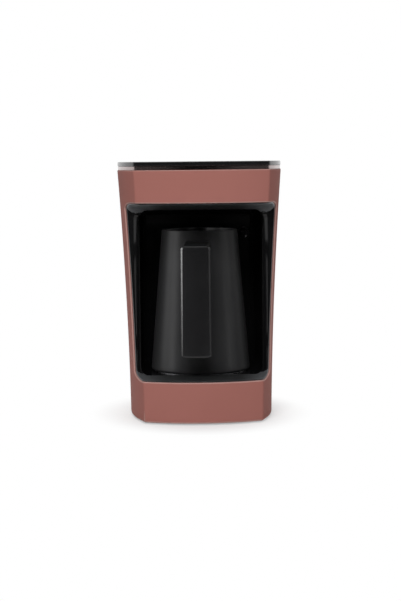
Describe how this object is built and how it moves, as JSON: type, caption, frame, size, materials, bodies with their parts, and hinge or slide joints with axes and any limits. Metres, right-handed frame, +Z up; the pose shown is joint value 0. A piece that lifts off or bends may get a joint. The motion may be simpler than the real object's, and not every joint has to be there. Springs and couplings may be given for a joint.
{
  "type": "electric turkish coffee maker",
  "caption": "Countertop brewer for turkish coffee: a flared rounded body with a tall open cavity, a conical pot with an upright strap handle on a hot plate, and a start button on top.",
  "frame": {"origin": "centre of the footprint, on the table under the rubber feet", "axes": "+Z up, front with the cavity's opening towards -Y, +X to the right seen from the front"},
  "size_m": [0.1624, 0.1898, 0.2524],
  "materials": {
    "rose_shell": "satin-gloss painted plastic, rose",
    "black_gloss": "deep gloss black",
    "black_satin": "fine satin black",
    "bright_trim": "polished plated ring",
    "plate_metal": "dark anodised, fine turned rings",
    "seal_rubber": "silicone, matt",
    "element_sheath": "heat-tinted sheath",
    "sheet_steel": "plated sheet and wire",
    "screw_steel": "zinc-plated screws and nuts",
    "probe_brass": "plain",
    "sensor_window": "smoked clear window",
    "circuit_board": "green circuit board",
    "relay_case": "blue case",
    "transformer_core": "varnished core",
    "capacitor_case": "sleeved can",
    "light_diffuser": "translucent white",
    "foot_rubber": "matt",
    "terminal_plastic": "off-white",
    "lead_sleeve": "silicone sleeve",
    "pot_coat": "satin black coating",
    "pot_steel": "brushed disc",
    "handle_gloss": "gloss black with polished bevels"
  },
  "bodies": {
    "housing": {"body_shell": "rose_shell", "front_bezel": "black_satin", "cavity_liner": "black_gloss", "trim_ring": "bright_trim", "top_cover": "black_gloss", "hot_plate": "plate_metal", "plate_seal": "seal_rubber", "heating_element": "element_sheath", "heater_bracket": "sheet_steel", "bracket_screws": "screw_steel", "plate_nuts": "screw_steel", "plate_sensor": "probe_brass", "thermal_fuse": "probe_brass", "sensor_housing": "black_satin", "sensor_lens": "sensor_window", "sensor_board": "circuit_board", "control_board": "circuit_board", "board_screws": "screw_steel", "relay": "relay_case", "transformer": "transformer_core", "capacitor": "capacitor_case", "buzzer": "black_satin", "tact_switch": "black_satin", "status_leds": "light_diffuser", "button_cup": "black_satin", "button_spring": "sheet_steel", "button_light_ring": "light_diffuser", "base_plate": "black_satin", "foot_front_left": "foot_rubber", "foot_front_right": "foot_rubber", "foot_rear_left": "foot_rubber", "foot_rear_right": "foot_rubber", "base_screws": "screw_steel", "liner_screws": "screw_steel", "cable_gland": "foot_rubber", "terminal_block": "terminal_plastic", "supply_leads": "lead_sleeve", "heater_leads": "lead_sleeve", "sensor_leads": "lead_sleeve"},
    "pot": {"pot_body": "pot_coat", "pot_base": "pot_steel", "handle_core": "black_satin", "handle_cover": "handle_gloss", "handle_screws": "screw_steel"},
    "button": {"start_button": "black_gloss"}
  },
  "joints": [
    {"name": "pot_slide", "type": "slide", "parent": "housing", "child": "pot", "axis": [0, -1, 0], "range_m": [0, 0.165]},
    {"name": "button_press", "type": "slide", "parent": "housing", "child": "button", "axis": [0, 0, -1], "range_m": [0, 0.0012], "stiffness_N_per_m": 1500, "deforming": ["button_spring"]}
  ]
}
